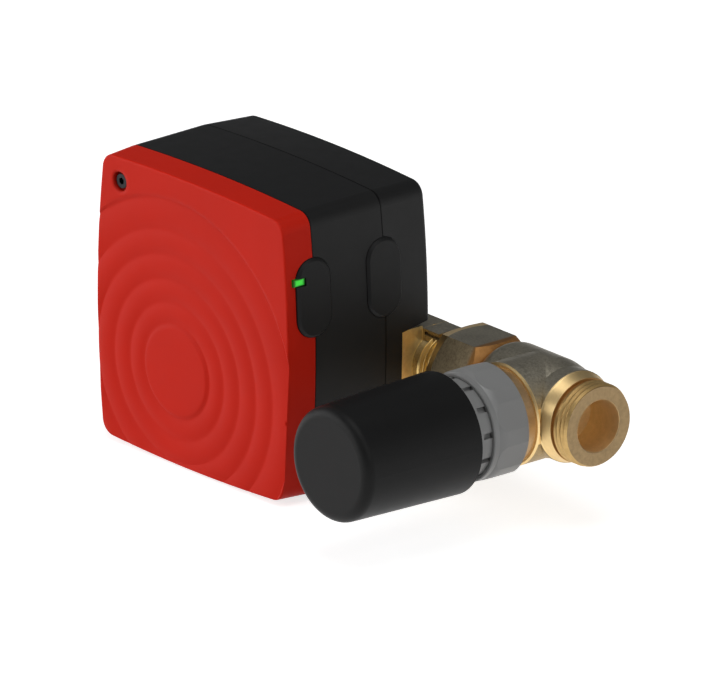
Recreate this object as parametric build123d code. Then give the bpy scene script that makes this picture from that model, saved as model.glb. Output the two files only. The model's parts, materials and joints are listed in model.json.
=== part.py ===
from build123d import *
import math
import os

# A pipe-mounted control unit with a flow body, and a valve that a thermal actuator drives.
# Sizes are in millimetres. X runs along the pipe towards the outlet, Y to the back and Z up.
# The origin is the middle of the outlet's end face, on the pipe's axis.

# Where the groups lie: the valve's axis from the outlet, and the housing's middle above the pipe
valve_to_outlet = 26.4
housing_rise = 12.8

# Clearances
running_gap = 0.05
slide_gap = 0.1
part_gap = 0.2
soft_gap = 0.3
touch_gap = 0.02
overlap = 1.0

# Housing: half sizes at the corners, bows of the sides, and depths behind the front face
middle_half_width = 42.0
middle_half_height = 45.5
front_taper = 0.5
back_side_taper = 1.5
back_top_taper = 1.0
front_half_width = middle_half_width - front_taper
front_half_height = middle_half_height - front_taper
back_half_width = middle_half_width - back_side_taper
back_half_height = middle_half_height - back_top_taper
side_bow = 3.0
top_bow = 1.35
corner_radius = 5.0
least_corner = 0.4
cover_depth = 10.6
split_depth = 38.7
housing_depth = 57.5
wall = 2.4
face_wall = 2.8
lap_wall = 1.2
lap_length = 2.0
front_edge_radius = 0.6
back_edge_radius = 1.6

# Ripples on the front cover: circles about one centre, with a crease at each radius
ripple_x = -7.8
ripple_z = -16.5
crease_radii = (14.9, 21.7, 29.0, 36.7, 44.4, 54.5)
crease_depth = 0.55
crest_depth = 0.05
crease_slope = 0.9

# Cover screw, with its place from the housing's sides
screw_side_inset = 8.2
screw_top_inset = 7.8
screw_x = screw_side_inset - middle_half_width
screw_z = middle_half_height - screw_top_inset
screw_recess_radius = 3.15
screw_recess_depth = 3.2
screw_head_radius = 2.25
screw_head_height = 2.5
screw_socket_flats = 2.0
screw_socket_depth = 1.4
screw_shank_radius = 1.25
screw_shank_length = 14.0
screw_boss_radius = 4.5

# Left-hand hooks that the latches work against
hook_rise = 22.0
hook_width = 12.0
hook_wall = 1.6
hook_reach = 4.3
hook_nib = 1.4
hook_nib_length = 1.4

# Latches on the right wall: a raised oval button, a flange behind the wall, and two guide pins
front_latch_lead = 0.2
rear_latch_lead = 0.4
front_latch_depth = cover_depth - front_latch_lead
rear_latch_depth = split_depth - rear_latch_lead
latch_rise = 19.5
latch_width = 13.4
latch_height = 25.0
latch_proud = 0.9
latch_bevel = 0.8
latch_travel = 0.9
latch_seat = 0.8
flange_width = 14.4
flange_height = 31.0
flange_wall = 2.2
catch_reach = 1.35
catch_width = 1.6
catch_height = 2.3
catch_offset = 3.6
catch_pocket = 1.1
guide_pin_radius = 1.5
guide_pin_spacing = 18.0
guide_pin_length = 6.6
guide_plate_inset = 8.4
guide_plate_x = middle_half_width - guide_plate_inset
guide_plate_wall = 1.8
front_guide_reach = 9.6
rear_guide_front_reach = 5.3
rear_guide_reach = 4.7
guide_rib_wall = 1.8
latch_spring_radius = 2.4
latch_spring_wire = 0.25
latch_spring_turns = 3

# Status light: a clear guide that starts over the lamp and ends in the right wall
light_rise = 25.6
light_height = 2.2
light_depth = 4.65
light_length = 4.4
light_proud = 0.25
light_tip = 2.0
guide_leg_size = 4.0
lamp_size = 2.8
lamp_height = 1.0

# Notch at the lower back of the housing, where the flow body lies
notch_margin = 7.0
notch_depth = split_depth + notch_margin
notch_slope = 1.4
notch_gap = 0.3

# Deck of the middle housing, with room for the screw heads behind it, and the board on it
deck_wall = 2.0
deck_room = 7.3
deck_depth = notch_depth - wall - deck_room - deck_wall
deck_window_width = 30.0
deck_window_height = 20.0
board_margin = 2.6
board_half_width = guide_plate_x - board_margin
board_half_height = 33.0
board_wall = 1.6
standoff_height = 4.4
standoff_radius = 3.0
standoff_side_inset = 4.0
standoff_top_inset = 3.5
standoff_x = board_half_width - standoff_side_inset
standoff_z = board_half_height - standoff_top_inset
board_screw_radius = 1.25
board_screw_head = 2.3
board_screw_head_height = 1.6
board_screw_length = 6.6
board_hole_radius = 1.5

# Components on the board: middles and sizes across, out from the board and up
guide_leg_x = 0.66 * board_half_width
supply_place = (-0.45 * board_half_width, 10.0)
supply_size = (0.9 * board_half_width, 15.0, 33.0)
relay_place = (0.35 * board_half_width, 17.0)
relay_size = (0.39 * board_half_width, 14.0, 24.0)
radio_place = (0.39 * board_half_width, -9.0)
radio_size = (0.7 * board_half_width, 1.2, 16.0)
radio_can_height = 2.2
terminal_inset = 7.0
terminal_place = (0.0, terminal_inset - board_half_height)
terminal_size = (1.3 * board_half_width, 11.0, 10.0)
terminal_ways = 6
terminal_entry = 3.2
terminal_well_radius = 1.7

# Flow body: its reach and top towards the notch, its length and its ports
flow_reach = 14.0
flow_top = 12.3
flow_end_proud = 1.0
flow_half_length = middle_half_width + flow_end_proud
flow_tube_radius = 11.6
flow_end_length = 15.0
flow_corner_radius = 12.5
flow_bore_radius = 7.2
flow_neck_radius = 9.0
flow_neck_length = 3.0
flow_rib_length = 7.5
flow_rib_half = 4.7
small_thread_radius = 10.48
small_thread_length = 19.0
small_thread_chamfer = 1.0
mount_screw_inset = 7.0
mount_screw_offset = flow_half_length - mount_screw_inset
mount_screw_radius = 2.5
mount_screw_head = 4.2
mount_screw_head_height = 3.0
mount_screw_depth = 8.0
mount_socket_flats = 3.0
probe_boss_half = 10.0
probe_radius = 2.5
probe_head_radius = 6.0
probe_head_height = 4.0
probe_tip = 1.5
probe_seal_wire = 0.9
probe_shoulder_radius = 4.6
probe_shoulder_length = 7.0

# Valve body, turned and milled about the pipe's axis
socket_reach = 37.8
socket_depth = 14.7
thread_entry = 9.7
hex_flats = 28.0
hex_length = 15.0
hex_chamfer_radius = 14.3
hex_chamfer_length = 1.2
neck_radius = 13.0
neck_start = 18.8
core_start = 17.2
core_end_reach = 4.3
core_radius = 15.65
core_edge_length = 4.0
core_edge_drop = 1.7
tail_start = 10.2
tail_radius = 14.55
tail_end_radius = 13.3
tail_full_end = 11.2
groove_end = 6.2
groove_start = 6.9
groove_radius = 12.4
outlet_thread_radius = 13.22
outlet_chamfer_radius = 12.41
outlet_chamfer_length = 0.9
outlet_bore_radius = 8.3

# Valve boss, chamber and seat, measured along the actuator's axis from the pipe's axis
boss_radius = 16.2
boss_front = 15.1
boss_edge = 0.5
mouth_radius = 12.5
mouth_floor = 8.0
chamber_radius = 10.5
chamber_floor = 1.2
seat_face = 2.0
seat_bore_radius = 5.2
seat_ring_radius = 6.8
low_channel_radius = 4.8
high_channel_radius = 5.2
channel_reach = 13.0

# Valve insert, stem and plug
stroke = 4.0
insert_skirt_wall = 1.4
insert_thread_radius = 15.0
insert_front = 27.0
cup_radius = 11.0
cup_floor = 17.0
hub_radius = 6.2
hub_front = 20.0
stem_radius = 2.0
stem_tip = 25.0
stem_cap_radius = 8.3
stem_cap_height = 1.5
stem_cap_overlap = 1.0
gland_radius = 3.8
gland_floor = 17.4
gland_seal_wire = 0.8
gland_nut_radius = 5.6
gland_nut_height = 1.2
plug_radius = 7.2
plug_height = 4.0
plug_seal_radius = 6.4
plug_seal_height = 2.2
plug_seal_proud = 1.0
return_spring_radius = 7.3
return_spring_wire = 0.45
return_spring_turns = 4

# Ring nut
nut_rear = 19.8
nut_shoulder_rear = 28.3
nut_shoulder_front = 31.2
nut_front = 33.2
nut_radius = 17.7
nut_front_radius = 17.05
nut_edge = 0.5
nut_front_edge = 0.3
nut_recess = 0.5
nut_flats = 8
nut_flat_reach = 17.15
nut_lip = 4.0
nut_lip_radius = 13.0

# Actuator base
base_neck_radius = 12.9
base_bore_radius = 9.0
ring_groove_start = 27.9
ring_height = 1.2
ring_radius = 14.5
ring_groove_depth = 1.0
ring_slot_angle = 40.0
drum_front = 40.0
drum_radius = 15.8
drum_slots = 12
drum_slot_width = 1.8
drum_slot_end = 36.5
drum_slot_depth = 1.3
drum_slot_turn = 7.5
spigot_front = 44.0
bridge_rear = 34.0
bridge_front = 38.0
bridge_width = 6.0
bridge_dimple = 1.0

# Actuator cap
cap_rear = 40.1
cap_front = 85.1
cap_rear_radius = 19.3
cap_front_radius = 18.15
cap_edge = 3.3
cap_wall = 1.9

# Wax drive inside the cap
foot_height = 2.4
arm_inner = 4.0
arm_outer = 8.0
arm_half_width = 3.2
yoke_rear = 44.4
yoke_height = 2.6
yoke_radius = 13.6
wax_radius = 6.0
wax_front = 64.0
wax_flange_radius = 8.2
wax_flange_height = 1.5
wax_pocket_depth = 5.5
piston_radius = 1.6
heater_radius = 5.4
heater_height = 2.4
clip_wall = 0.8
clip_skirt = 5.0
main_spring_radius = 11.0
main_spring_wire = 0.8
main_spring_turns = 6

# Where the housing lies, from the flow body that it sits on
notch_level = flow_top + notch_gap - housing_rise
face_to_pipe = notch_depth + flow_reach
flow_port_length = flow_neck_length + small_thread_length
housing_to_outlet = valve_to_outlet + socket_reach - thread_entry + flow_port_length + flow_half_length

# Planes that the sections are drawn on
housing_place = Location((-housing_to_outlet, -face_to_pipe, housing_rise))
actuator_place = Plane(origin=(-valve_to_outlet, 0, 0), x_dir=(1, 0, 0), z_dir=(0, -1, 0)).location


def block(x_range, y_range, z_range):
    """Box between two values on each axis"""
    sizes = [high - low for low, high in (x_range, y_range, z_range)]
    middle = [(high + low) / 2 for low, high in (x_range, y_range, z_range)]
    return Pos(*middle) * Box(*sizes)


def rod(radius, start, direction, length):
    """Cylinder from a point along a direction"""
    return extrude(Plane(origin=start, z_dir=direction) * Circle(radius), amount=length)


def turned(*outline):
    """Solid of revolution about Z from (radius, height) points"""
    return revolve(Plane.XZ * make_face(Polyline(*outline, close=True)), Axis.Z)


def turned_on_pipe(*outline):
    """Solid of revolution about the pipe's axis from (place along X, radius) points"""
    return revolve(make_face(Polyline(*outline, close=True)), Axis.X)


def tube(outer, inner, start, end):
    """Plain ring about Z"""
    return turned((inner, start), (outer, start), (outer, end), (inner, end))


def coil(mean_radius, wire_radius, start, end, turns):
    """Compression spring about Z, one square wire from start to end, whose coils stay apart"""
    rise = end - start - 2 * wire_radius
    path = Helix(pitch=rise / turns, height=rise, radius=mean_radius)
    section = Plane(origin=path @ 0, z_dir=path % 0) * RegularPolygon(wire_radius, 4)
    return Pos(0, 0, start + wire_radius) * sweep(section, path=path, is_frenet=True)


def socket_screw(head_radius, head_height, shank_radius, shank_length, flats, socket_depth):
    """Screw along Z, its head's underside at 0 and its shank below, with a hexagon socket"""
    head = Pos(0, 0, head_height / 2) * Cylinder(head_radius, head_height)
    shank = Pos(0, 0, -shank_length / 2) * Cylinder(shank_radius, shank_length)
    socket = RegularPolygon(flats / 2, 6, major_radius=False)
    cut = extrude(Pos(0, 0, head_height) * socket, amount=-socket_depth)
    return head + shank - cut


# Housing, drawn from the middle of its front face


def share(value, low, high, at_low, at_high):
    """Value between two stations in proportion"""
    return at_low + (at_high - at_low) * (value - low) / (high - low)


def housing_halves(depth):
    """Half width and half height of the housing at a depth behind its face"""
    if depth <= cover_depth:
        half_width = share(depth, 0, cover_depth, front_half_width, middle_half_width)
        half_height = share(depth, 0, cover_depth, front_half_height, middle_half_height)
    elif depth <= split_depth:
        half_width, half_height = middle_half_width, middle_half_height
    else:
        half_width = share(depth, split_depth, housing_depth, middle_half_width, back_half_width)
        half_height = share(depth, split_depth, housing_depth, middle_half_height, back_half_height)
    return half_width, half_height


def section_plane(depth):
    """Plane across the housing at a depth, seen from the front"""
    return Plane(origin=(0, depth, 0), x_dir=(1, 0, 0), z_dir=(0, -1, 0))


def bow_circle(half_length, half_place, bow, inset):
    """Middle and radius of a bowed side's circle, moved inwards by inset"""
    radius = (half_length**2 + bow**2) / (2 * bow)
    return half_place + bow - radius, radius - inset


def housing_outline(depth, inset=0.0):
    """Outline with bowed sides and rounded corners, moved inwards by inset"""
    half_width, half_height = housing_halves(depth)
    side_middle, side_radius = bow_circle(half_height, half_width, side_bow, inset)
    top_middle, top_radius = bow_circle(half_width, half_height, top_bow, inset)
    x = half_width - inset
    z = half_height - inset
    for _ in range(8):
        x = side_middle + math.sqrt(side_radius**2 - z**2)
        z = top_middle + math.sqrt(top_radius**2 - x**2)
    right = ThreePointArc((x, -z), (side_middle + side_radius, 0), (x, z))
    top = ThreePointArc((x, z), (0, top_middle + top_radius), (-x, z))
    left = ThreePointArc((-x, z), (-side_middle - side_radius, 0), (-x, -z))
    bottom = ThreePointArc((-x, -z), (0, -top_middle - top_radius), (x, -z))
    outline = make_face([right, top, left, bottom])
    radius = max(corner_radius - inset, least_corner)
    return section_plane(depth) * fillet(outline.vertices(), radius)


def housing_block(front, back, inset=0.0):
    """Solid housing between two depths"""
    return loft([housing_outline(front, inset).face(), housing_outline(back, inset).face()])


def straight_block(front, back, inset):
    """Block with the middle housing's outline, moved inwards by inset, between two depths"""
    return extrude(section_plane(front) * middle_outline(inset), amount=front - back)


def middle_outline(inset):
    """Outline of the middle housing in its own plane"""
    return section_plane(split_depth).location.inverse() * housing_outline(split_depth, inset)


def wall_x(rise, inset=0.0, depth=split_depth):
    """Place of the right wall at a height above the housing's middle and a depth"""
    half_width, half_height = housing_halves(depth)
    middle, radius = bow_circle(half_height, half_width, side_bow, inset)
    return middle + math.sqrt(radius**2 - rise**2)


def oval(depth, width, height, x_from, x_to):
    """Upright oval bar along X at the latches' height"""
    outline = Pos(depth, latch_rise) * SlotOverall(height, width, rotation=90)
    return extrude(Plane.YZ.offset(x_from) * outline, amount=x_to - x_from)


def latch_window(depth):
    """Opening that a latch's button passes through"""
    outer = wall_x(0) + overlap
    inner = wall_x(latch_rise + latch_height) - wall - overlap
    return oval(depth, latch_width + 2 * part_gap, latch_height + 2 * part_gap, inner, outer)


def light_window():
    """Opening round the tip and the foot of the light guide"""
    depth_range = (light_depth - light_length / 2 - part_gap, light_depth + light_length / 2 + part_gap)
    half_height = light_height / 2 + part_gap
    rise_range = (light_rise - half_height, light_rise + half_height)
    inner = wall_x(light_rise, wall + overlap)
    return block((inner, wall_x(0) + overlap), depth_range, rise_range)


def catches(latch_depth, side, wall_half_width):
    """Two small catches inside the right wall, that a latch's flange holds back"""
    low_depth, high_depth = catch_range(latch_depth, side)
    reach = straight_block(low_depth, high_depth, wall - overlap)
    narrowing = middle_half_width - wall_half_width
    reach -= straight_block(low_depth - overlap, high_depth + overlap, wall + catch_reach + narrowing)
    bars = Part()
    for up in (-1, 1):
        middle = latch_rise + up * (latch_height / 2 + part_gap + catch_height / 2)
        rise_range = (middle - catch_height / 2, middle + catch_height / 2)
        bars += reach & block((0, wall_x(0)), (low_depth - overlap, high_depth + overlap), rise_range)
    return bars


def catch_range(latch_depth, side):
    """Depths of a catch, before the latch's middle for side -1 and behind it for side 1"""
    middle = latch_depth + side * catch_offset
    return middle - catch_width / 2, middle + catch_width / 2


def ripple_cutter():
    """What is cut from the flat face to leave the rings of the ripples"""
    start = crease_radii[0] - crease_slope
    end = crease_radii[-1] + crease_slope
    edges = [Line((start, 0), (crease_radii[0], -crease_depth))]
    for inner, outer in zip(crease_radii[:-1], crease_radii[1:]):
        crest = ((inner + outer) / 2, -crest_depth)
        edges.append(ThreePointArc((inner, -crease_depth), crest, (outer, -crease_depth)))
    edges.append(Line((crease_radii[-1], -crease_depth), (end, 0)))
    edges += [Polyline((end, 0), (end, overlap), (start, overlap), (start, 0))]
    cutter = revolve(Plane.XZ * make_face(edges), Axis.Z)
    return Plane(origin=(ripple_x, 0, ripple_z), x_dir=(1, 0, 0), z_dir=(0, -1, 0)).location * cutter


def hooks(rim, stop):
    """Two hooks inside the left wall, from a rim's inner face past the rim to a stop's depth"""
    pair = Part()
    outer = hook_face(stop)
    for up in (-1, 1):
        rise_range = (up * hook_rise - hook_width / 2, up * hook_rise + hook_width / 2)
        pair += block((outer, outer + hook_wall), (rim, stop), rise_range)
        pair += block((outer - hook_nib, outer + overlap), (stop - hook_nib_length, stop), rise_range)
        foot = block((outer - wall, outer + overlap), (rim, rim + hook_nib_length), rise_range)
        pair += foot & straight_block(rim, rim + hook_nib_length, lap_wall)
    return pair


def hook_face(stop):
    """Place of the hooks' outer face, clear of the left wall that they enter"""
    return -wall_x(hook_rise + hook_width / 2, wall + part_gap, stop)


def hook_pockets(stop):
    """Pockets in the left wall that the hooks' nibs lie in"""
    pair = Part()
    outer = hook_face(stop) - hook_nib - part_gap
    for up in (-1, 1):
        half = hook_width / 2 + part_gap
        rise_range = (up * hook_rise - half, up * hook_rise + half)
        depth_range = (stop - hook_nib_length - part_gap, stop + part_gap)
        pair += block((outer, outer + wall), depth_range, rise_range)
    return pair


def front_cover():
    """Red cover: rippled face, screw boss, tongue, catches and hooks"""
    cover = housing_block(0, cover_depth)
    cover = fillet(cover.faces().sort_by(Axis.Y)[0].edges(), front_edge_radius)
    cover -= housing_block(face_wall, cover_depth + overlap, wall)
    tongue = housing_block(cover_depth - 2 * lap_length, cover_depth, lap_wall + slide_gap)
    tongue += straight_block(cover_depth - touch_gap, cover_depth + lap_length, lap_wall + slide_gap)
    tongue -= straight_block(0, cover_depth + 2 * lap_length, wall)
    cover += tongue
    cover += catches(front_latch_depth, -1, housing_halves(catch_range(front_latch_depth, -1)[0])[0])
    cover += hooks(cover_depth - 2 * hook_nib_length, cover_depth + hook_reach)
    boss_start = (screw_x, face_wall - touch_gap, screw_z)
    cover += rod(screw_boss_radius, boss_start, (0, 1, 0), cover_depth - face_wall)
    cover -= ripple_cutter()
    recess_floor = (screw_x, screw_recess_depth, screw_z)
    cover -= rod(screw_recess_radius, recess_floor, (0, -1, 0), 2 * screw_recess_depth)
    cover -= rod(screw_shank_radius + slide_gap, (screw_x, 0, screw_z), (0, 1, 0), 2 * cover_depth)
    cover -= latch_window(front_latch_depth)
    cover -= light_window()
    return cover


def cover_screw():
    """Captive screw that locks the cover"""
    screw = socket_screw(
        screw_head_radius,
        screw_head_height,
        screw_shank_radius,
        screw_shank_length,
        screw_socket_flats,
        screw_socket_depth,
    )
    return Plane(origin=(screw_x, screw_recess_depth, screw_z), z_dir=(0, -1, 0)).location * screw


def front_guide_range():
    """Depths of the front latch's guide, from behind the light guide"""
    return light_depth + light_length / 2 + part_gap, front_latch_depth + front_guide_reach


def rear_guide_range():
    """Depths of the rear latch's guide"""
    return rear_latch_depth - rear_guide_front_reach, rear_latch_depth + rear_guide_reach


def latch_guide(latch_depth, depth_range):
    """Plate inside the right wall that a latch's pins slide in, on two ribs from the wall"""
    plate_range = (guide_plate_x - guide_plate_wall / 2, guide_plate_x + guide_plate_wall / 2)
    half_height = flange_height / 2 + part_gap + guide_rib_wall
    guide = block(plate_range, depth_range, (latch_rise - half_height, latch_rise + half_height))
    tongue_end = cover_depth + lap_length + 2 * part_gap
    rib_range = (max(depth_range[0], tongue_end), min(depth_range[1], split_depth - part_gap / 2))
    for up in (-1, 1):
        outer = latch_rise + up * half_height
        rise_range = sorted((outer - up * guide_rib_wall, outer))
        rib = block((plate_range[0], wall_x(0)), rib_range, rise_range)
        guide += rib & straight_block(rib_range[0], rib_range[1], wall - overlap / 2)
    for up in (-1, 1):
        hole = (0, latch_depth, latch_rise + up * guide_pin_spacing / 2)
        guide -= rod(guide_pin_radius + slide_gap, hole, (1, 0, 0), wall_x(0))
    return guide


def middle_housing():
    """Black middle housing: open ring with a deck, board posts, screw post and latch guides"""
    front = cover_depth + part_gap
    back = split_depth - part_gap / 2
    ring = straight_block(front, back, 0)
    ring -= straight_block(front - overlap, deck_depth, wall)
    ring -= straight_block(deck_depth + deck_wall, back + overlap, wall)
    ring -= straight_block(front - overlap, cover_depth + lap_length + part_gap, lap_wall)
    ring += rear_tongue(back)
    window_x = (-deck_window_width / 2, deck_window_width / 2)
    window_z = (-deck_window_height / 2, deck_window_height / 2)
    ring -= block(window_x, (deck_depth - overlap, deck_depth + deck_wall + overlap), window_z)
    ring -= rear_latch_room()
    for x in (-standoff_x, standoff_x):
        for z in (-standoff_z, standoff_z):
            ring += rod(standoff_radius, (x, deck_depth, z), (0, -1, 0), standoff_height)
            ring -= rod(board_screw_radius, (x, deck_depth + deck_wall, z), (0, -1, 0), 2 * standoff_height)
    post_front = cover_depth + part_gap
    ring += rod(screw_boss_radius, (screw_x, deck_depth, screw_z), (0, -1, 0), deck_depth - post_front)
    ring -= rod(screw_shank_radius + touch_gap, (screw_x, deck_depth, screw_z), (0, -1, 0), deck_depth)
    ring += latch_guide(front_latch_depth, front_guide_range())
    ring += latch_guide(rear_latch_depth, rear_guide_range())
    ring += hooks(back - 2 * hook_nib_length, split_depth + hook_reach)
    ring -= latch_window(front_latch_depth)
    ring -= latch_window(rear_latch_depth)
    ring -= hook_pockets(cover_depth + hook_reach)
    return ring


def rear_tongue(back):
    """Tongue of the middle housing that enters the rear shell"""
    tongue = straight_block(back - lap_length, back + lap_length, lap_wall + slide_gap + part_gap)
    return tongue - straight_block(0, housing_depth, wall)


def rear_latch_room():
    """Room in the deck for the rear latch's flange and pins"""
    half_height = flange_height / 2 + part_gap
    rise_range = (latch_rise - half_height, latch_rise + half_height)
    x_range = (guide_plate_x - guide_plate_wall / 2 - guide_pin_length / 2, wall_x(0) - wall)
    room = block(x_range, (deck_depth - overlap, split_depth), rise_range)
    return room & straight_block(0, housing_depth, wall)


def notch(wall_offset):
    """Room at the lower back for the flow body, grown by a wall"""
    face = notch_depth - wall_offset
    reach = housing_depth + overlap
    level = notch_level + wall_offset
    rise = notch_slope * (reach - face) / (housing_depth - notch_depth)
    deep = -2 * back_half_height
    outline = [(face, deep), (face, level), (reach, level + rise), (reach, deep)]
    profile = Plane.YZ.offset(-2 * back_half_width) * make_face(Polyline(*outline, close=True))
    return extrude(profile, amount=4 * back_half_width)


def rear_shell():
    """Black rear shell with the notch, screw holes, probe hole, catches and pockets"""
    start = split_depth + part_gap / 2
    shell = housing_block(start, housing_depth)
    shell = fillet(shell.faces().sort_by(Axis.Y)[-1].edges(), back_edge_radius)
    shell -= notch(0)
    shell -= housing_block(start - overlap, housing_depth - wall, wall) - notch(wall)
    shell -= housing_block(start - overlap, start + lap_length + part_gap, lap_wall)
    shell += catches(rear_latch_depth, 1, housing_halves(catch_range(rear_latch_depth, 1)[0])[0])
    holes = (
        (-mount_screw_offset, mount_screw_radius),
        (mount_screw_offset, mount_screw_radius),
        (0, probe_shoulder_radius),
    )
    for x, radius in holes:
        shell -= rod(radius + part_gap, (x, split_depth, -housing_rise), (0, 1, 0), housing_depth)
    shell -= latch_window(rear_latch_depth)
    shell -= hook_pockets(split_depth + hook_reach)
    return shell


def latch(depth, side):
    """Latch: oval button through the wall, flange with catch pockets, and two guide pins"""
    front, back = depth - flange_width / 2, depth + flange_width / 2
    wide = oval(depth, latch_width, latch_height, 0, wall_x(0) + 2 * latch_proud)
    head = wide & straight_block(front, back, -latch_proud)
    rim = head.faces().sort_by(Axis.X)[-1].edges()
    head = chamfer(rim, latch_bevel)
    head -= straight_block(front, back, wall + latch_seat + overlap)
    flange = straight_block(front, back, wall + latch_seat)
    flange -= straight_block(front, back, wall + latch_seat + flange_wall)
    half_height = flange_height / 2
    rise_range = (latch_rise - half_height, latch_rise + half_height)
    flange = flange & block((guide_plate_x, wall_x(0)), (front, back), rise_range)
    latch_part = head + flange
    low_depth, high_depth = catch_range(depth, side)
    pocket_depths = (low_depth - slide_gap, high_depth + slide_gap)
    pocket = straight_block(pocket_depths[0], pocket_depths[1], wall)
    pocket -= straight_block(front, back, wall + latch_seat + catch_pocket)
    for up in (-1, 1):
        low = latch_rise + up * (latch_height / 2 + part_gap)
        pocket_rise = sorted((low - up * part_gap, low + up * flange_height))
        latch_part -= pocket & block((guide_plate_x, wall_x(0)), pocket_depths, pocket_rise)
        pin_x = wall_x(latch_rise, wall + latch_seat + flange_wall / 2)
        start = (pin_x, depth, latch_rise + up * guide_pin_spacing / 2)
        latch_part += rod(guide_pin_radius, start, (-1, 0, 0), guide_pin_length + flange_wall / 2)
    if side < 0:
        latch_part -= light_slot()
    return latch_part


def light_slot():
    """Slot in the front latch that lets it move past the light guide"""
    depth_range = (0, light_depth + light_length / 2 + part_gap)
    half_height = light_height / 2 + part_gap
    return block((0, wall_x(0) + overlap), depth_range, (light_rise - half_height, light_rise + half_height))


def latch_spring(depth):
    """Spring between a latch's flange and its guide plate"""
    start = guide_plate_x + guide_plate_wall / 2
    end = wall_x(latch_rise + latch_spring_radius, wall + latch_seat + flange_wall) - slide_gap
    spring = coil(latch_spring_radius, latch_spring_wire, start, end, latch_spring_turns)
    return Plane(origin=(0, depth, latch_rise), z_dir=(1, 0, 0)).location * spring


def light_guide():
    """Clear guide: tip in the wall, foot behind it and a leg down to the lamp"""
    tip_half = light_height / 2
    rise_range = (light_rise - tip_half, light_rise + tip_half)
    tip_depths = (light_depth - light_length / 2, light_depth + light_length / 2)
    foot_depths = (face_wall + slide_gap, tip_depths[1])
    end = wall_x(light_rise) + light_proud
    guide = block((end - light_tip, end), tip_depths, rise_range)
    guide += block((guide_leg_x - guide_leg_size / 2, end - light_tip / 2), foot_depths, rise_range)
    leg_x = (guide_leg_x - guide_leg_size / 2, guide_leg_x + guide_leg_size / 2)
    leg_z = (light_rise - guide_leg_size / 2, light_rise + guide_leg_size / 2)
    guide += block(leg_x, (foot_depths[0], board_front()), leg_z)
    room = lamp_size / 2 + part_gap
    lamp_x = (guide_leg_x - room, guide_leg_x + room)
    lamp_z = (light_rise - room, light_rise + room)
    guide -= block(lamp_x, (board_front() - lamp_height - part_gap, board_front()), lamp_z)
    return guide


def board_front():
    """Depth of the board's front face"""
    return deck_depth - standoff_height - board_wall


def circuit_board():
    """Board with its screw holes and rounded corners"""
    outline = RectangleRounded(2 * board_half_width, 2 * board_half_height, standoff_radius)
    for x in (-standoff_x, standoff_x):
        for z in (-standoff_z, standoff_z):
            outline -= Pos(x, z) * Circle(board_hole_radius)
    return extrude(section_plane(board_front()) * outline, amount=-board_wall)


def board_screws():
    """Four screws that hold the board on the posts"""
    screw = Pos(0, 0, board_screw_head_height / 2) * Cylinder(board_screw_head, board_screw_head_height)
    shank = Cylinder(board_screw_radius - touch_gap, board_screw_length)
    screw += Pos(0, 0, -board_screw_length / 2) * shank
    slot = Box(2 * board_screw_head, board_screw_radius / 2, board_screw_head_height)
    screw -= Pos(0, 0, board_screw_head_height) * slot
    group = Part()
    for x in (-standoff_x, standoff_x):
        for z in (-standoff_z, standoff_z):
            group += Plane(origin=(x, board_front(), z), z_dir=(0, -1, 0)).location * screw
    return group


def on_board(place, size):
    """Box that stands on the board"""
    across, out, up = size
    x_range = (place[0] - across / 2, place[0] + across / 2)
    z_range = (place[1] - up / 2, place[1] + up / 2)
    return block(x_range, (board_front() - out, board_front()), z_range)


def power_supply():
    """Potted power supply"""
    brick = on_board(supply_place, supply_size)
    return fillet(brick.faces().sort_by(Axis.Y)[0].edges(), lap_wall)


def relay():
    """Relay that switches the actuator's heater"""
    case = on_board(relay_place, relay_size)
    return chamfer(case.faces().sort_by(Axis.Y)[0].edges(), lap_wall / 2)


def radio_module():
    """Radio module with its shield can"""
    module = on_board(radio_place, radio_size)
    can_size = (radio_size[0] * 0.6, radio_size[1] + radio_can_height, radio_size[2] - lap_wall)
    return module + on_board((radio_place[0] - radio_size[0] * 0.15, radio_place[1]), can_size)


def terminal_block():
    """Terminal block with a wire entry and a screw well for each way"""
    body = on_board(terminal_place, terminal_size)
    pitch = terminal_size[0] / terminal_ways
    for way in range(terminal_ways):
        x = terminal_place[0] + pitch * (way + 0.5 - terminal_ways / 2)
        front = board_front() - terminal_size[1]
        low = terminal_place[1] - terminal_size[2] / 2
        body -= rod(terminal_well_radius, (x, front, terminal_place[1]), (0, 1, 0), terminal_size[1] / 2)
        entry = Box(terminal_entry, terminal_entry, terminal_size[2])
        body -= Pos(x, front + terminal_size[1] / 2, low) * entry
    return body


def status_lamp():
    """Small lamp on the board under the light guide"""
    return on_board((guide_leg_x, light_rise), (lamp_size, lamp_height, lamp_size))


# Flow body, drawn on the pipe's axis


def flow_middle():
    """Place of the flow body's middle along the pipe"""
    return -housing_to_outlet


def flow_front():
    """Place of the flow body's flat front, against the notch"""
    return notch_depth - face_to_pipe + touch_gap


def flow_port():
    """Right-hand end of the flow body from its middle: neck, thread and lead-in"""
    thread_start = flow_half_length + flow_neck_length
    thread_end = thread_start + small_thread_length
    return turned_on_pipe(
        (flow_half_length - overlap, 0),
        (flow_half_length - overlap, flow_neck_radius),
        (thread_start, flow_neck_radius),
        (thread_start, small_thread_radius),
        (thread_end - small_thread_chamfer, small_thread_radius),
        (thread_end, small_thread_radius - small_thread_chamfer),
        (thread_end, 0),
    )


def flow_flat():
    """Distance of the octagonal bar's flats from the pipe's axis"""
    return flow_corner_radius * math.cos(math.pi / 8)


def flow_end_block(x_from, x_to):
    """Octagonal stretch of the flow body, squared towards the notch"""
    outline = RegularPolygon(flow_corner_radius, 8, rotation=22.5)
    bar = extrude(Plane.YZ.offset(x_from) * outline, amount=x_to - x_from)
    return bar + block((x_from, x_to), (flow_front(), -flow_rib_half), (-flow_flat(), flow_top))


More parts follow.
